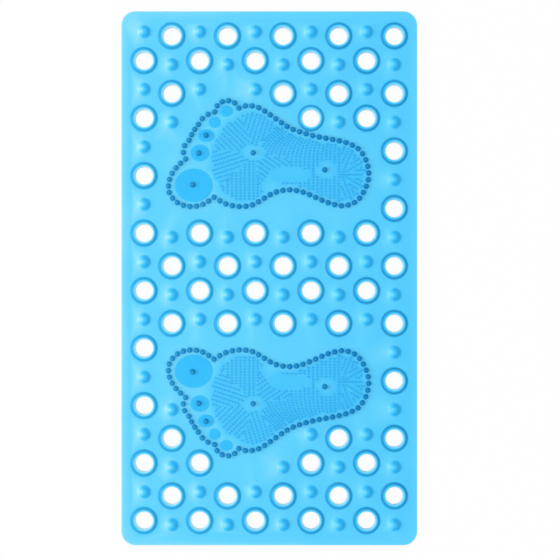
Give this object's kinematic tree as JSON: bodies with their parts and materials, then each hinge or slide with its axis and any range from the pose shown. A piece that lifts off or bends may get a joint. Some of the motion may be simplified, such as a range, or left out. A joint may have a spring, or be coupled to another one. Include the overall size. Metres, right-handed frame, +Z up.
{
  "type": "shower foot scrubber mat",
  "caption": "Light-blue soft PVC shower mat with drain holes, knobs and two foot-shaped scrubbing zones outlined in beads.",
  "frame": {"origin": "middle of the mat, on the floor that the suction cups stand on", "axes": "+Z up through the mat, +Y along its length, +X across it towards the heels of the two feet"},
  "size_m": [0.38, 0.686, 0.012],
  "materials": {
    "soft_pvc": "gloss"
  },
  "bodies": {
    "root": {"foot_scrubber_mat": "soft_pvc"}
  },
  "joints": []
}
